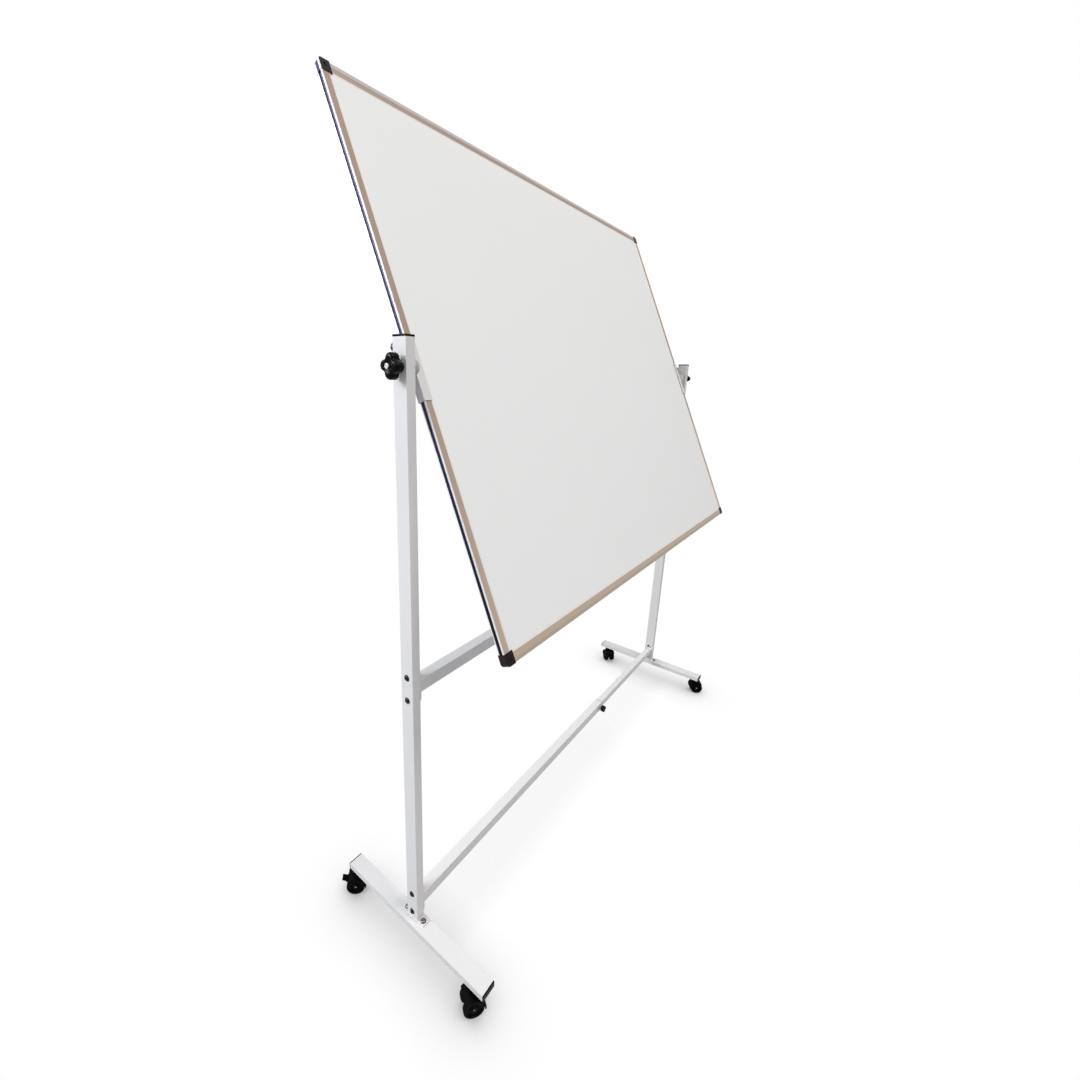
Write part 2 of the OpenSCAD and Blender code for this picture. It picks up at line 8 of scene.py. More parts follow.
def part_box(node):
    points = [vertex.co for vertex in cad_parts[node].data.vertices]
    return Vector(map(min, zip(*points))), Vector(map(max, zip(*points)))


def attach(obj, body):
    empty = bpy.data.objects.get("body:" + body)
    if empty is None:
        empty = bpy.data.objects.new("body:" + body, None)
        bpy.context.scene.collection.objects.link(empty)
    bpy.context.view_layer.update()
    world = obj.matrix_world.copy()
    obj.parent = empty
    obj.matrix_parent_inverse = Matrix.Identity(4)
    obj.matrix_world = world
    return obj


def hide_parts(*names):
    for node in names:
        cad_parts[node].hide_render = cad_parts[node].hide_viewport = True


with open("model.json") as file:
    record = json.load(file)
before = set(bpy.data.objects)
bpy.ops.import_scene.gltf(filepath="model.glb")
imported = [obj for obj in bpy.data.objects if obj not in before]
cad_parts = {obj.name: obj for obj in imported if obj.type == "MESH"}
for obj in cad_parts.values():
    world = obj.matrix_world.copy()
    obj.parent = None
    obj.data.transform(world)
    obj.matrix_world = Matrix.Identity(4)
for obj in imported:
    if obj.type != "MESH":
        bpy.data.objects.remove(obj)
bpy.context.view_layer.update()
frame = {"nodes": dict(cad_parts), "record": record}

NODES = frame["nodes"]

# The part, in metres and radians
LEAN = math.radians(24)
BOARD_BACK, BOARD_UP = 0.009, 0.015
BOARD_W, BOARD_H = 1.5, 1.2
RAIL_W = 0.022
LIP_FADE, BEAD_FADE = 0.0005, 0.0004
# Where the side groove's shade is painted on the rails and caps: from GROOVE_FROM to GROOVE_TO
# inside the outer edge outwards, and within GROOVE_EDGE of the board's mid-plane, a band wider than
# the groove itself
GROOVE_FROM, GROOVE_TO = 0.0036, 0.003
GROOVE_EDGE = (0.0038, 0.0042)
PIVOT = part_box("left_pivot_washer")
PIVOT_Z = (PIVOT[0].z + PIVOT[1].z) / 2
FOOT_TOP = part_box("left_foot")[1].z
SWIVELS = {"front_left": math.radians(145), "back_left": math.radians(135),
           "front_right": math.radians(-60), "back_right": math.radians(-135)}

# Hand knobs, in millimetres; a knob without a bore is closed at its end
PIVOT_KNOB = {"r": 24.0, "height": 18.0, "hub": 7.0, "bore": 5.1}
LOCK_KNOB = {"r": 14.0, "height": 12.5, "hub": 2.5, "bore": 0.0}
PIVOT_KNOB_SINK, LOCK_KNOB_SINK = 0.007, 0.0025
KNOB_TURN = 5.0

# Weld beads, in millimetres
WELD_STEP, WELD_SIDES = 1.1, 10
COLLAR_R, COLLAR_SIDES = 11.0, 36

# Painted colours shared by the rails and the corner caps: a bright painted reflection on the side
# rails' beads and the upper caps' sides, and painted shade in the side groove
PAINTED_REFLECTION = (0.86, 0.85, 0.87)
GROOVE_SHADE = (0.03, 0.035, 0.13)

# Studio and camera
FLOOR_HALF = 12.0
FLOOR_SHADE_REACH = 0.16
AMBIENT = (0.94, 0.96, 1.0)
AMBIENT_STRENGTH = 0.52
MIRRORED_LOW, MIRRORED_HIGH = 0.5, 0.8
CAMERA_PLACE = (-1.4076, -0.6978, 1.3884)
CAMERA_YAW, CAMERA_PITCH, CAMERA_ROLL = (math.radians(d) for d in (50.987, -15.092, 1.114))
CAMERA_LENS, CAMERA_SENSOR = 16.34, 36.0
CAMERA_SHIFT = (0.0545, -0.0264)


# ---------- shader helpers ----------

class Shader:
    """A node material under construction: nodes are added by type and linked by name."""

    def __init__(self, name):
        self.mat = bpy.data.materials.new(name)
        self.mat.use_nodes = True
        self.tree = self.mat.node_tree
        self.bsdf = self.tree.nodes["Principled BSDF"]
        self.coord = self.tree.nodes.new("ShaderNodeTexCoord").outputs["Object"]

    def set(self, **values):
        for key, value in values.items():
            self.bsdf.inputs[key.replace("_", " ")].default_value = value

    def link(self, a, b):
        self.tree.links.new(a, b)

    def to(self, socket, out):
        self.link(out, self.bsdf.inputs[socket])

    def scaled(self, scale):
        node = self.tree.nodes.new("ShaderNodeMapping")
        node.inputs["Scale"].default_value = scale
        self.link(self.coord, node.inputs["Vector"])
        return node.outputs["Vector"]

    def on_board(self):
        """Measures every later pattern in the board's own axes, from its centre."""
        node = self.tree.nodes.new("ShaderNodeMapping")
        node.inputs["Rotation"].default_value = (LEAN, 0.0, 0.0)
        node.inputs["Location"].default_value = (
            0.0, PIVOT_Z * math.sin(LEAN) - BOARD_BACK, -PIVOT_Z * math.cos(LEAN) - BOARD_UP)
        self.link(self.coord, node.inputs["Vector"])
        self.coord = node.outputs["Vector"]

    def noise(self, size, detail=3.0, rough=0.5, stretch=None, seed=0.0):
        """Noise whose features are about size metres across."""
        node = self.tree.nodes.new("ShaderNodeTexNoise")
        node.noise_dimensions = "4D"
        node.inputs["W"].default_value = seed
        node.inputs["Scale"].default_value = 1.0 / size
        node.inputs["Detail"].default_value = detail
        node.inputs["Roughness"].default_value = rough
        self.link(self.scaled(stretch) if stretch else self.coord, node.inputs["Vector"])
        return node.outputs["Fac"]

    def voronoi(self, size):
        """The distance to the nearest cell's centre, for cells about size metres across."""
        node = self.tree.nodes.new("ShaderNodeTexVoronoi")
        node.inputs["Scale"].default_value = 1.0 / size
        self.link(self.coord, node.inputs["Vector"])
        return node.outputs["Distance"]

    def span(self, value, lo, hi, a=0.0, b=1.0):
        """Maps lo..hi to a..b, clamped."""
        node = self.tree.nodes.new("ShaderNodeMapRange")
        node.inputs["From Min"].default_value = lo
        node.inputs["From Max"].default_value = hi
        node.inputs["To Min"].default_value = a
        node.inputs["To Max"].default_value = b
        self.link(value, node.inputs["Value"])
        return node.outputs["Result"]

    def math(self, kind, a, b):
        """A math node of two inputs, each a float or a socket."""
        node = self.tree.nodes.new("ShaderNodeMath")
        node.operation = kind
        for socket, value in zip(node.inputs, (a, b)):
            if isinstance(value, float):
                socket.default_value = value
            else:
                self.link(value, socket)
        return node.outputs["Value"]

    def mix(self, factor, a, b):
        """Mixes two colours, each a tuple or a socket, by a factor socket."""
        node = self.tree.nodes.new("ShaderNodeMix")
        node.data_type = "RGBA"
        self.link(factor, node.inputs["Factor"])
        for key, value in ((6, a), (7, b)):
            if isinstance(value, tuple):
                node.inputs[key].default_value = (*value, 1.0)
            else:
                self.link(value, node.inputs[key])
        return node.outputs[2]

    def axis(self, index):
        node = self.tree.nodes.new("ShaderNodeSeparateXYZ")
        self.link(self.coord, node.inputs["Vector"])
        return node.outputs[index]

    def away(self, index):
        """The distance from the origin along one axis."""
        return self.math("ABSOLUTE", self.axis(index), 0.0)

    def in_groove(self):
        """1 within the band of painted groove shade, a little taller than the rails' side groove,
        on the board's own axes.
        """
        return self.span(self.away(1), *GROOVE_EDGE, 1.0, 0.0)

    def edges(self):
        """1 on convex edges, 0 elsewhere, from the surface's pointiness."""
        geometry = self.tree.nodes.new("ShaderNodeNewGeometry")
        return self.span(geometry.outputs["Pointiness"], 0.53, 0.62)

    def bump(self, *layers):
        """Stacks (height socket, depth in metres) layers into the surface normal."""
        last = None
        for height, depth in layers:
            node = self.tree.nodes.new("ShaderNodeBump")
            node.inputs["Strength"].default_value = 1.0
            node.inputs["Distance"].default_value = depth
            self.link(height, node.inputs["Height"])
            if last:
                self.link(last, node.inputs["Normal"])
            last = node.outputs["Normal"]
        self.to("Normal", last)


# ---------- materials ----------

def powder_coat():
    """White powder coat with a fine orange peel and a few scuffs."""
    s = Shader("powder_coat")
    s.set(Specular_IOR_Level=0.4, Coat_Weight=0.12, Coat_Roughness=0.3)
    cloud = s.noise(0.3, 3.0, 0.55)
    scuff = s.span(s.noise(0.03, 6.0, 0.7, seed=4.0), 0.64, 0.74)
    tint = s.mix(s.span(cloud, 0.3, 0.7), (0.708, 0.703, 0.708), (0.738, 0.733, 0.734))
    tint = s.mix(s.math("MULTIPLY", scuff, 0.2), tint, (0.55, 0.54, 0.53))
    s.to("Base Color", tint)
    s.to("Roughness", s.span(cloud, 0.3, 0.7, 0.34, 0.46))
    s.bump((s.noise(0.0022, 2.0, 0.5, seed=2.0), 0.00003),
           (s.noise(0.006, 2.0, 0.5, seed=7.0), 0.00006))
    return s.mat


def enamel_sheet():
    """White enamel with faint wipe marks along the board."""
    s = Shader("enamel_sheet")
    s.on_board()
    s.set(Specular_IOR_Level=0.35, Coat_Weight=0.05, Coat_Roughness=0.15)
    ghost = s.noise(0.3, 3.0, 0.5, (1.0, 1.0, 0.6), 3.0)
    wipe = s.noise(0.06, 3.0, 0.5, (0.15, 1.0, 1.0), 6.0)
    s.to("Base Color", s.mix(s.span(ghost, 0.3, 0.7), (0.89, 0.915, 0.915), (0.88, 0.905, 0.905)))
    s.to("Roughness", s.span(wipe, 0.3, 0.7, 0.3, 0.36))
    s.bump((s.noise(0.03, 2.0, 0.5, seed=1.0), 0.00002))
    return s.mat


def frame_rail(name, along, bead_w, lip_w, high, low):
    """Bronze anodised extrusion with painted shade in its side groove, along the board's X or Z
    axis.

    Its outer bead, bead_w wide, carries a painted reflection that goes from the colour low to high
    up the board, and its pale inner lip is lip_w wide. The extrusion's body is painted paler low on
    the board and bronze higher up, a painted change of light.
    """
    s = Shader(name)
    s.on_board()
    across, edge = (2, BOARD_H / 2) if along == 0 else (0, BOARD_W / 2)
    lines = s.noise(0.0009, 2.0, 0.5, tuple(0.004 if k == along else 1.0 for k in range(3)), 5.0)
    band = s.noise(0.012, 2.0, 0.5, tuple(0.02 if k == along else 1.0 for k in range(3)), 8.0)
    out = s.away(across)
    lip_edge, bead_edge = edge - RAIL_W + lip_w, edge - bead_w
    lip = s.span(out, lip_edge, lip_edge + LIP_FADE, 1.0, 0.0)
    bead = s.span(out, bead_edge - BEAD_FADE, bead_edge)
    # painted shade: the groove's walls and a strip of side face around it are coloured dark
    groove = s.math("MULTIPLY", s.span(out, edge - GROOVE_FROM, edge - GROOVE_TO), s.in_groove())
    # 0 low on the board, 1 from its middle up: it carries the painted changes of light with height
    up = s.span(s.axis(2), -0.55, 0.0)
    # painted light: the one extrusion is shown bronze higher up and paler straw low on the board
    bronze = s.mix(s.span(band, 0.3, 0.7), (0.42, 0.32, 0.255), (0.47, 0.365, 0.295))
    straw_painted_light = s.mix(s.span(band, 0.3, 0.7), (0.64, 0.52, 0.41), (0.70, 0.58, 0.47))
    tint = s.mix(up, straw_painted_light, bronze)
    tint = s.mix(s.math("MULTIPLY", s.span(lines, 0.4, 0.7), 0.3), tint, (0.58, 0.49, 0.42))
    tint = s.mix(lip, tint, (0.95, 0.89, 0.80))
    # painted reflection on the outer bead
    tint = s.mix(bead, tint, s.mix(up, low, high))
    # painted groove shade, near black low on the board and navy higher up
    s.to("Base Color", s.mix(groove, tint, s.mix(up, (0.004, 0.004, 0.006), GROOVE_SHADE)))
    pale = s.math("MAXIMUM", lip, s.math("MAXIMUM", bead, groove))
    s.to("Metallic", s.span(pale, 0.0, 1.0, 0.4, 0.15))
    s.to("Roughness", s.span(lines, 0.3, 0.7, 0.3, 0.4))
    s.bump((lines, 0.00001))
    return s.mat


def black_plastic(name, rough, shine):
    """Black moulded plastic with a little dust and paler worn edges."""
    s = Shader(name)
    s.set(Specular_IOR_Level=shine)
    dust = s.span(s.noise(0.012, 5.0, 0.7, seed=3.0), 0.6, 0.85)
    shade = s.mix(s.math("MULTIPLY", dust, 0.05), (0.0015, 0.0015, 0.002), (0.05, 0.05, 0.052))
    s.to("Base Color", s.mix(s.math("MULTIPLY", s.edges(), 0.06), shade, (0.05, 0.05, 0.055)))
    patch = s.noise(0.006, 4.0, 0.6, seed=9.0)
    s.to("Roughness", s.span(patch, 0.3, 0.7, rough - 0.03, rough + 0.1))
    s.bump((s.noise(0.0008, 2.0, 0.5, seed=1.0), 0.00002))
    return s.mat


def corner_plastic():
    """Glossy plum-black moulded caps, with a painted bright reflection and the rails' painted
    groove shade on the outer sides of the upper ones.
    """
    s = Shader("corner_plastic")
    s.on_board()
    flow = s.noise(0.02, 3.0, 0.6, seed=2.0)
    side = s.span(s.away(0), BOARD_W / 2 - 0.0006, BOARD_W / 2 - 0.0003)
    # painted reflection: the upper caps' outer sides are coloured bright, with the groove's painted
    # shade across them
    painted_reflection_side = s.math("MULTIPLY", side, s.span(s.axis(2), -0.1, 0.1))
    reflection_and_groove_shade = s.mix(s.in_groove(), PAINTED_REFLECTION, GROOVE_SHADE)
    plum = s.mix(s.span(flow, 0.3, 0.7), (0.008, 0.004, 0.006), (0.016, 0.009, 0.012))
    s.to("Base Color", s.mix(painted_reflection_side, plum, reflection_and_groove_shade))
    s.to("Metallic", s.math("MULTIPLY", painted_reflection_side, 0.15))
    s.set(Specular_IOR_Level=0.2, Coat_Weight=0.06, Coat_Roughness=0.1)
    s.to("Roughness", s.span(flow, 0.3, 0.7, 0.14, 0.24))
    s.bump((s.noise(0.0012, 2.0, 0.5, seed=1.0), 0.00002))
    return s.mat


def frame_bolt():
    """Black bolts, but plain grey ones low down and beside the post, in the base plates."""
    s = Shader("frame_bolt")
    s.set(Specular_IOR_Level=0.3)
    low = s.span(s.axis(2), FOOT_TOP + 0.03, FOOT_TOP + 0.02)
    plain = s.math("MULTIPLY", low, s.span(s.away(1), 0.017, 0.019))
    grime = s.noise(0.004, 4.0, 0.6, seed=3.0)
    grey = s.mix(s.span(grime, 0.3, 0.7), (0.13, 0.13, 0.12), (0.20, 0.20, 0.185))
    s.to("Base Color", s.mix(plain, (0.006, 0.006, 0.007), grey))
    s.to("Metallic", s.math("MULTIPLY", plain, 0.7))
    s.to("Roughness", s.span(grime, 0.3, 0.7, 0.12, 0.24))
    s.bump((s.noise(0.0009, 2.0, 0.5), 0.00003))
    return s.mat


def castor_wheel():
    """Matt black plastic with a little dust."""
    s = Shader("castor_wheel")
    s.set(Specular_IOR_Level=0.06)
    dirt = s.span(s.noise(0.008, 6.0, 0.7, seed=5.0), 0.5, 0.8)
    tint = s.mix(s.math("MULTIPLY", dirt, 0.15), (0.0012, 0.0012, 0.0015), (0.04, 0.038, 0.035))
    s.to("Base Color", tint)
    s.to("Roughness", s.span(dirt, 0.0, 1.0, 0.38, 0.6))
    s.bump((s.noise(0.0006, 2.0, 0.6, seed=2.0), 0.00004), (s.noise(0.004, 3.0, 0.6), 0.00005))
    return s.mat


def zinc_steel():
    """Zinc-plated steel with a fine spangle."""
    s = Shader("zinc_steel")
    s.set(Metallic=1.0)
    cells = s.voronoi(0.0025)
    s.to("Base Color", s.mix(s.span(cells, 0.1, 0.7), (0.60, 0.61, 0.62), (0.72, 0.73, 0.74)))
    s.to("Roughness", s.span(s.noise(0.003, 4.0, 0.6), 0.3, 0.7, 0.25, 0.42))
    s.bump((s.noise(0.0008, 3.0, 0.6), 0.00003))
    return s.mat


def nylon_block():
    """Natural nylon of the inserts inside the posts."""
    s = Shader("nylon_block")
    s.set(Specular_IOR_Level=0.4, Subsurface_Weight=0.1)
    tone = s.span(s.noise(0.02), 0.3, 0.7)
    s.to("Base Color", s.mix(tone, (0.62, 0.60, 0.55), (0.70, 0.69, 0.64)))
    s.to("Roughness", s.span(s.noise(0.004, seed=2.0), 0.3, 0.7, 0.4, 0.55))
    s.bump((s.noise(0.0008), 0.00004))
    return s.mat


def fibre_core():
    """Fibreboard between the board's two sheets."""
    s = Shader("fibre_core")
    fibre = s.noise(0.003, 5.0, 0.7, seed=1.0)
    s.to("Base Color", s.mix(s.span(fibre, 0.3, 0.7), (0.34, 0.24, 0.15), (0.47, 0.35, 0.22)))
    s.to("Roughness", s.span(fibre, 0.3, 0.7, 0.78, 0.9))
    s.bump((fibre, 0.0002))
    return s.mat


# ---------- mesh helpers ----------

def finish_node(obj, width):
    """Rounds a CAD node's edges by width, if any, with modifiers, and shades it smooth."""
    weld = obj.modifiers.new("weld", "WELD")
    weld.merge_threshold = 0.00001
    if width:
        flat = obj.modifiers.new("flat", "DECIMATE")
        flat.decimate_type = "DISSOLVE"
        flat.angle_limit = math.radians(0.5)
        bevel = obj.modifiers.new("bevel", "BEVEL")
        bevel.width = width
        bevel.segments = 3
        bevel.limit_method = "ANGLE"
        bevel.angle_limit = math.radians(35)
        bevel.harden_normals = False
    for face in obj.data.polygons:
        face.use_smooth = True
    normal = obj.modifiers.new("normals", "WEIGHTED_NORMAL")
    normal.keep_sharp = True


def paint(obj, mat):
    obj.data.materials.clear()
    obj.data.materials.append(mat)


def piece(name, verts, faces, mat, body, sharp, place=Matrix.Identity(4), replaced=()):
    """A mesh of millimetre points, smooth up to the angle sharp in degrees, riding on a body.

    place takes it to the world in metres, and replaced lists the CAD nodes it stands in for.
    """
    mesh = bpy.data.meshes.new(name)
    mesh.from_pydata([place @ (Vector(v) * 0.001) for v in verts], [], faces)
    mesh.update()
    for face in mesh.polygons:
        face.use_smooth = True
    mesh.set_sharp_from_angle(angle=math.radians(sharp))
    obj = bpy.data.objects.new(name, mesh)
    bpy.context.collection.objects.link(obj)
    paint(obj, mat)
    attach(obj, body)
    if replaced:
        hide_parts(*replaced)


def frame_of(x, y, origin):
    """The transform whose local axes are x, y and their cross product, at origin in metres."""
    x, y = Vector(x), Vector(y)
    return Matrix.Translation(origin) @ Matrix((x, y, x.cross(y))).transposed().to_4x4()


def loft(rings, closed=False):
    """Quads between rings of points; the first and last ring are capped unless closed."""
    count, size = len(rings), len(rings[0])
    verts = [point for row in rings for point in row]
    faces = []
    for i in range(count if closed else count - 1):
        a, b = i * size, (i + 1) % count * size
        for k in range(size):
            m = (k + 1) % size
            faces.append((a + k, a + m, b + m, b + k))
    if not closed:
        faces.append(tuple(reversed(range(size))))
        faces.append(tuple((count - 1) * size + k for k in range(size)))
    return verts, faces


def ring(radius, z, sides):
    """A ring of points about the Z axis; radius is a number or a function of the angle."""
    points = []
    for k in range(sides):
        a = 2 * math.pi * k / sides
        r = radius(a) if callable(radius) else radius
        points.append((r * math.cos(a), r * math.sin(a), z))
    return points


# ---------- hand knobs ----------

def lobe_outline(r, scale, turn):
    """Four round lobes joined by round hollows: the radius as a function of the angle."""
    lobe, valley = 0.42 * r, 0.7 * r
    reach = r - lobe
    diag = math.sqrt(2) * reach
    hollow = (valley ** 2 - diag * valley + reach ** 2 - lobe ** 2) / (2 * lobe + diag - 2 * valley)
    centre = valley + hollow
    share = lobe / (lobe + hollow)
    side = centre / math.sqrt(2)
    meet = math.atan2(share * side, reach + share * (side - reach))

    def radius(angle):
        a = (angle - turn) % (math.pi / 2)
        a = min(a, math.pi / 2 - a)
        if a < meet:
            out = reach * math.cos(a) + math.sqrt(lobe ** 2 - (reach * math.sin(a)) ** 2)
        else:
            b = math.pi / 4 - a
            out = centre * math.cos(b) - math.sqrt(hollow ** 2 - (centre * math.sin(b)) ** 2)
        return out * scale
    return radius


def star_knob(name, node, body, mat, place, turn, r, height, hub, bore):
    """A lobed hand knob along Z on a hub, with a screw's recess if it has a bore."""
    sides = 144
    tilt = math.radians(turn)

    def star(scale, z):
        return ring(lobe_outline(r, scale, tilt), z, sides)

    hub_r = 0.45 * r
    soft = 0.05 * r
    rings = [
        ring(hub_r - 0.5, -hub, sides), ring(hub_r, -hub + 0.5, sides), ring(hub_r, -0.3, sides),
        ring(hub_r + 0.3, 0.0, sides), star(0.93, 0.0), star(0.965, 0.25), star(0.99, 0.8),
        star(1.0, 1.8), star(1.0, height * 0.5), star(0.993, height - 4 * soft),
        star(0.965, height - 2.4 * soft), star(0.915, height - 1.2 * soft),
        star(0.85, height - 0.4 * soft), star(0.78, height),
    ]
    if bore:
        recess = 8.0
        floor = height - 1.6
        rings += [
            ring(recess + 0.6, height, sides), ring(recess + 0.2, height - 0.3, sides),
            ring(recess, floor, sides), ring(bore + 0.6, floor, sides),
            ring(bore, floor - 0.6, sides), ring(bore, -hub, sides),
        ]
    else:
        rings += [
            ring(hub_r * 0.75, height, sides), ring(hub_r * 0.7, height - 0.35, sides),
            ring(hub_r * 0.45, height - 0.45, sides), ring(0.4, height - 0.5, sides),
        ]
    verts, faces = loft(rings, closed=bool(bore))
    piece(name, verts, faces, mat, body, 60.0, place, (node,))


def knobs(mat):
    """The two pivot knobs, pointing outwards, and the two lock knobs, pointing forwards."""
    lo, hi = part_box("left_pivot_knob")
    z = (lo.z + hi.z) / 2
    place = frame_of((0, 0, -1), (0, -1, 0), (hi.x - PIVOT_KNOB_SINK, 0, z))
    star_knob("pivot_knob_left", "left_pivot_knob", "left_knob", mat, place,
              -KNOB_TURN, **PIVOT_KNOB)
    lo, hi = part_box("right_pivot_knob")
    place = frame_of((0, 0, -1), (0, 1, 0), (lo.x + PIVOT_KNOB_SINK, 0, z))
    star_knob("pivot_knob_right", "right_pivot_knob", "right_knob", mat, place,
              KNOB_TURN, **PIVOT_KNOB)
    for level in ("lower", "middle"):
        lo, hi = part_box(f"{level}_lock_knob")
        centre = ((lo.x + hi.x) / 2, hi.y - LOCK_KNOB_SINK, (lo.z + hi.z) / 2)
        star_knob(f"lock_knob_{level}", f"{level}_lock_knob", f"{level}_lock", mat,
                  frame_of((1, 0, 0), (0, 0, 1), centre), KNOB_TURN, **LOCK_KNOB)


# ---------- castors ----------

def lathe(profile):
    """A closed (radius, y) profile turned about the Y axis; returns verts and faces."""
    sides = 96
    angles = [2 * math.pi * k / sides for k in range(sides)]
    rings = [[(r * math.cos(a), y, -r * math.sin(a)) for a in angles] for r, y in profile]
    return loft(rings, closed=True)


def castor_wheels(name, body, mat):
    """Two moulded wheels with a crowned tread, a ribbed dish and a hub cap, as one piece."""
    lo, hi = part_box(f"{name}_axle")
    place = Matrix.Translation((lo + hi) / 2) @ Matrix.Rotation(SWIVELS[name], 4, "Z")
    bore, inner, outer = 3.05, 7.2, 21.2
    profile = [
        # inner face and tread, with a seam line around it
        (bore, inner), (22.6, inner), (23.4, inner + 0.25), (24.2, inner + 0.9),
        (24.75, inner + 2.0), (25.0, inner + 3.6), (25.0, inner + 6.5), (24.55, inner + 6.7),
        (24.55, inner + 7.3), (25.0, inner + 7.5), (25.0, outer - 3.6), (24.75, outer - 2.0),
        (24.2, outer - 0.9), (23.4, outer - 0.25), (22.6, outer), (19.4, outer),
        # dish with its rib
        (19.0, outer - 0.3), (18.5, outer - 2.6), (18.0, outer - 2.9), (13.6, outer - 2.9),
        (13.2, outer - 2.7), (12.9, outer - 1.7), (12.2, outer - 1.4), (11.6, outer - 1.7),
        (11.3, outer - 2.7), (10.9, outer - 2.9), (9.4, outer - 2.9),
        # hub cap
        (9.0, outer - 2.6), (8.7, outer - 0.5), (8.2, outer), (bore, outer),
    ]
    verts, faces = lathe(profile)
    flipped, back = lathe([(r, -y) for r, y in profile])
    count = len(verts)
    verts = verts + flipped
    faces = faces + [tuple(count + k for k in reversed(face)) for face in back]
    piece(f"wheels_{name}", verts, faces, mat, body, 45.0, place,
          (f"{name}_wheels",))


# ---------- weld beads ----------

def weld(name, corners, radius, mat, body):
    """A rippled bead along a closed outline of points in millimetres."""
    path = []
    for k, a in enumerate(corners):
        a, b = Vector(a), Vector(corners[(k + 1) % len(corners)])
        steps = max(1, round((b - a).length / WELD_STEP))
        path += [a.lerp(b, i / steps) for i in range(steps)]
    centre = sum(path, Vector()) / len(path)
    normal = (path[0] - centre).cross(path[len(path) // 4] - centre).normalized()
    rings = []
    for k, p in enumerate(path):
        ahead = (path[(k + 1) % len(path)] - path[k - 1]).normalized()
        out = ahead.cross(normal)
        ripple = 1.0 + 0.16 * math.sin(k * 1.9) + 0.06 * math.sin(k * 0.7 + 1.0)
        around = ring(radius * ripple, 0.0, WELD_SIDES)
        rings.append([p + out * x + normal * y for x, y, _ in around])
    verts, faces = loft(rings, closed=True)
    piece(name, verts, faces, mat, body, 80.0)


def welds(mat):
    """Beads at the posts' feet, the crossbars' plates and the pivot channels' collars."""
    for side in ("left", "right"):
        body = f"{side}_stand"
        lo, hi = (v * 1000 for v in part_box(f"{side}_post"))
        foot = lo.z
        outline = [(lo.x, lo.y, foot), (hi.x, lo.y, foot), (hi.x, hi.y, foot), (lo.x, hi.y, foot)]
        weld(f"weld_base_{side}", outline, 1.5, mat, body)
        for level in ("lower", "middle"):
            kind = "outer" if side == "left" else "inner"
            lo, hi = (v * 1000 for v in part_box(f"{level}_{kind}_tube"))
            x = lo.x if side == "left" else hi.x
            outline = [(x, lo.y, lo.z), (x, hi.y, lo.z), (x, hi.y, hi.z), (x, lo.y, hi.z)]
            weld(f"weld_{level}_{side}", outline, 1.4, mat, body)
        lo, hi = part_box(f"{side}_channel")
        x = (lo.x if side == "left" else hi.x) * 1000
        collar = ring(COLLAR_R, 0.0, COLLAR_SIDES)
        outline = [(x, along, PIVOT_Z * 1000 + up) for along, up, _ in collar]
        body = "board" if side == "left" else "right_clamp"
        weld(f"weld_collar_{side}", outline, 1.1, mat, body)


# ---------- studio ----------

def floor_paper():
    """White paper that glows to the camera, with painted shade near what stands on it, and is dim
    as a bounce.
    """
    s = Shader("floor_paper")
    s.set(Roughness=0.9, Specular_IOR_Level=0.1)
    s.to("Base Color", s.mix(s.noise(2.5), (0.40, 0.40, 0.405), (0.42, 0.42, 0.42)))
    # painted contact shade: the glow seen by the camera dims where ambient occlusion finds things
    # close by
    near = s.tree.nodes.new("ShaderNodeAmbientOcclusion")
    near.samples = 12
    near.inputs["Distance"].default_value = FLOOR_SHADE_REACH
    glow = s.tree.nodes.new("ShaderNodeEmission")
    s.link(s.span(near.outputs["AO"], 0.3, 0.97, 0.3, 1.0), glow.inputs["Strength"])
    path = s.tree.nodes.new("ShaderNodeLightPath")
    both = s.tree.nodes.new("ShaderNodeMixShader")
    s.link(path.outputs["Is Camera Ray"], both.inputs["Fac"])
    s.link(s.bsdf.outputs["BSDF"], both.inputs[1])
    s.link(glow.outputs["Emission"], both.inputs[2])
    s.link(both.outputs["Shader"], s.tree.nodes["Material Output"].inputs["Surface"])
    return s.mat


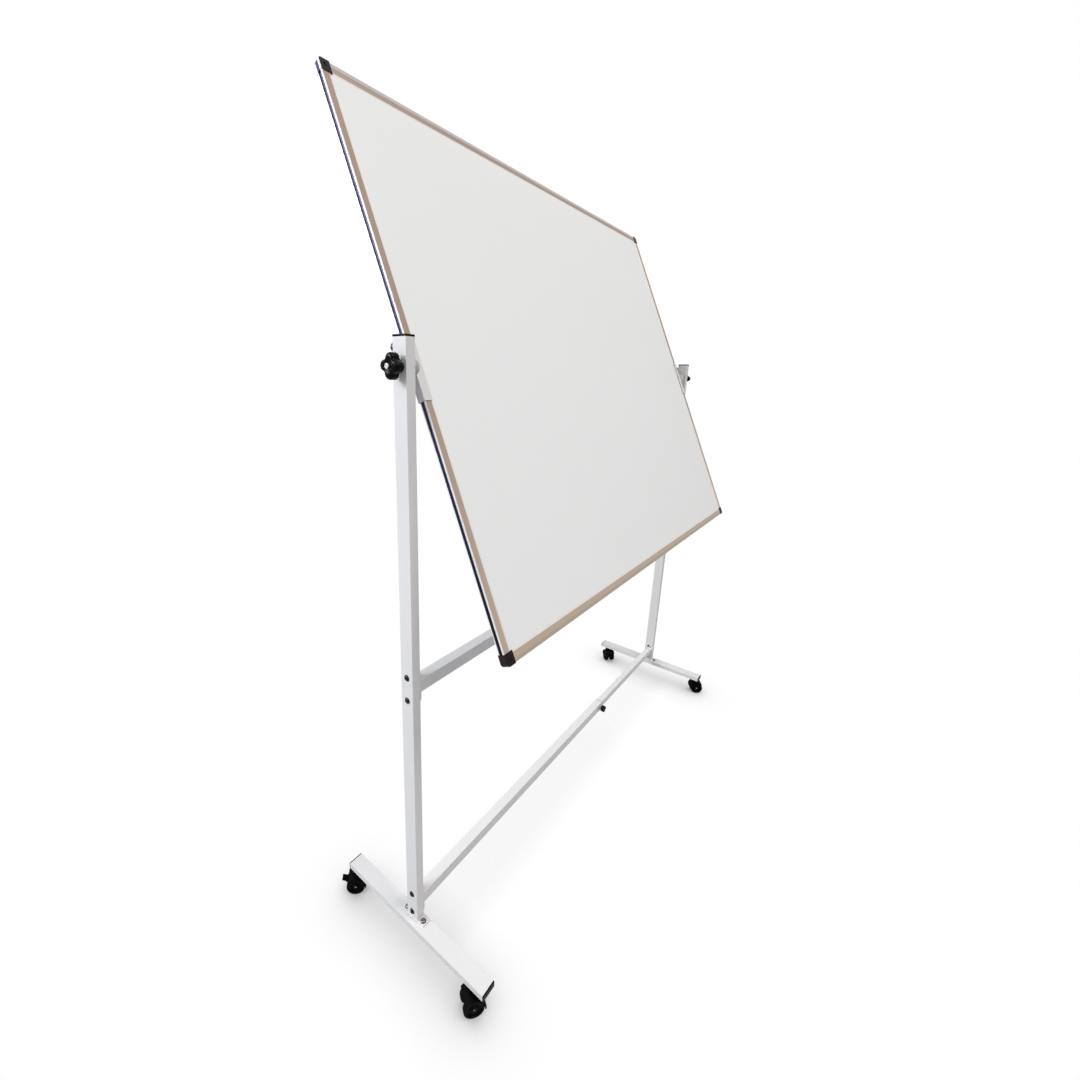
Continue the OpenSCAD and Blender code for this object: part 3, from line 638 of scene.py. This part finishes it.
def studio():
    """A pale floor, and a white world that lights, mirrors and shows with its own strengths."""
    mesh = bpy.data.meshes.new("floor")
    half = FLOOR_HALF
    corners = [(-half, -half, 0), (half, -half, 0), (half, half, 0), (-half, half, 0)]
    mesh.from_pydata(corners, [], [(0, 1, 2, 3)])
    floor = bpy.data.objects.new("floor", mesh)
    bpy.context.collection.objects.link(floor)
    paint(floor, floor_paper())

    world = bpy.data.worlds.new("studio")
    bpy.context.scene.world = world
    world.use_nodes = True
    tree = world.node_tree
    seen, lit = tree.nodes["Background"], tree.nodes.new("ShaderNodeBackground")
    seen.inputs["Color"].default_value = (1.0, 1.0, 1.0, 1.0)
    lit.inputs["Color"].default_value = (*AMBIENT, 1.0)
    lit.inputs["Strength"].default_value = AMBIENT_STRENGTH
    mirrored = tree.nodes.new("ShaderNodeBackground")
    height = tree.nodes.new("ShaderNodeSeparateXYZ")
    coord = tree.nodes.new("ShaderNodeTexCoord")
    tree.links.new(coord.outputs["Generated"], height.inputs["Vector"])
    glow = tree.nodes.new("ShaderNodeMapRange")
    glow.inputs["To Min"].default_value = MIRRORED_LOW
    glow.inputs["To Max"].default_value = MIRRORED_HIGH
    tree.links.new(height.outputs["Z"], glow.inputs["Value"])
    tree.links.new(glow.outputs["Result"], mirrored.inputs["Strength"])
    path = tree.nodes.new("ShaderNodeLightPath")
    last = lit.outputs["Background"]
    for kind, shade in (("Is Glossy Ray", mirrored), ("Is Camera Ray", seen)):
        both = tree.nodes.new("ShaderNodeMixShader")
        tree.links.new(path.outputs[kind], both.inputs["Fac"])
        tree.links.new(last, both.inputs[1])
        tree.links.new(shade.outputs["Background"], both.inputs[2])
        last = both.outputs["Shader"]
    tree.links.new(last, tree.nodes["World Output"].inputs["Surface"])


def area_light(name, place, target, size, power, colour):
    """A square light of the given side, facing the target."""
    data = bpy.data.lights.new(name, "AREA")
    data.shape = "SQUARE"
    data.size = size
    data.energy = power
    data.color = colour
    obj = bpy.data.objects.new(name, data)
    obj.location = place
    obj.rotation_euler = (Vector(target) - Vector(place)).to_track_quat("-Z", "Y").to_euler()
    bpy.context.collection.objects.link(obj)


def camera():
    """The camera, by its place, yaw from +Y towards +X, pitch and roll."""
    data = bpy.data.cameras.new("camera")
    data.sensor_width = CAMERA_SENSOR
    data.lens = CAMERA_LENS
    data.shift_x, data.shift_y = CAMERA_SHIFT
    obj = bpy.data.objects.new("camera", data)
    level = math.cos(CAMERA_PITCH)
    ahead = Vector((math.sin(CAMERA_YAW) * level, math.cos(CAMERA_YAW) * level,
                    math.sin(CAMERA_PITCH)))
    right = Vector((math.cos(CAMERA_YAW), -math.sin(CAMERA_YAW), 0.0))
    up = right.cross(ahead)
    cos, sin = math.cos(CAMERA_ROLL), math.sin(CAMERA_ROLL)
    turn = Matrix((right * cos + up * sin, up * cos - right * sin, -ahead)).transposed()
    obj.matrix_world = Matrix.Translation(CAMERA_PLACE) @ turn.to_4x4()
    bpy.context.collection.objects.link(obj)
    bpy.context.scene.camera = obj


def build():
    camera()
    studio()
    area_light("window", (-4.1, 2.5, 3.3), (-0.4, 0, 1.0), 2.4, 200, (0.95, 0.98, 1.0))
    area_light("front", (0.3, -5.4, 9.4), (0, 0, 1.0), 3.6, 485, (1.0, 0.915, 0.865))
    powder = powder_coat()
    enamel = enamel_sheet()
    # The bead colours given here are painted reflections: lighter up the board on the top and
    # bottom rails, bright white on the side rails
    rail_x = frame_rail("frame_rail_x", 0, 0.0085, 0.0015, (0.66, 0.62, 0.62), (0.50, 0.43, 0.33))
    rail_z = frame_rail("frame_rail_z", 2, 0.0012, 0.0045, PAINTED_REFLECTION, PAINTED_REFLECTION)
    gloss = black_plastic("black_gloss", 0.16, 0.12)
    corner = corner_plastic()
    bolt = frame_bolt()
    satin = black_plastic("black_satin", 0.45, 0.05)
    wheel = castor_wheel()
    by_slot = {
        "powder_coat": powder, "enamel_sheet": enamel, "black_cap": gloss, "black_knob": gloss,
        "black_bolt": bolt, "zinc_steel": zinc_steel(), "nylon_block": nylon_block(),
        "black_bush": satin, "fibre_core": fibre_core(), "castor_shell": satin,
        "brake_pedal": satin, "castor_wheel": wheel, "frame_rail": rail_x,
    }
    by_node = {"left_rail": rail_z, "right_rail": rail_z, "corner_caps": corner}
    edge_widths = {
        "powder_coat": 0.0014, "black_cap": 0.001, "castor_shell": 0.0015, "brake_pedal": 0.0008,
        "castor_wheel": 0.0006, "black_knob": 0.002, "black_bush": 0.0005, "zinc_steel": 0.0004,
    }
    knobs(gloss)
    welds(powder)
    for name in SWIVELS:
        castor_wheels(name, f"{name}_wheel_pair", wheel)
    slots = {p["node"]: p["material_slot"] for p in frame["record"]["subparts"]}
    for name, obj in NODES.items():
        paint(obj, by_node.get(name, by_slot[slots[name]]))
        finish_node(obj, edge_widths.get(slots[name], 0.0))


build()
bpy.context.scene.view_settings.view_transform = "Standard"
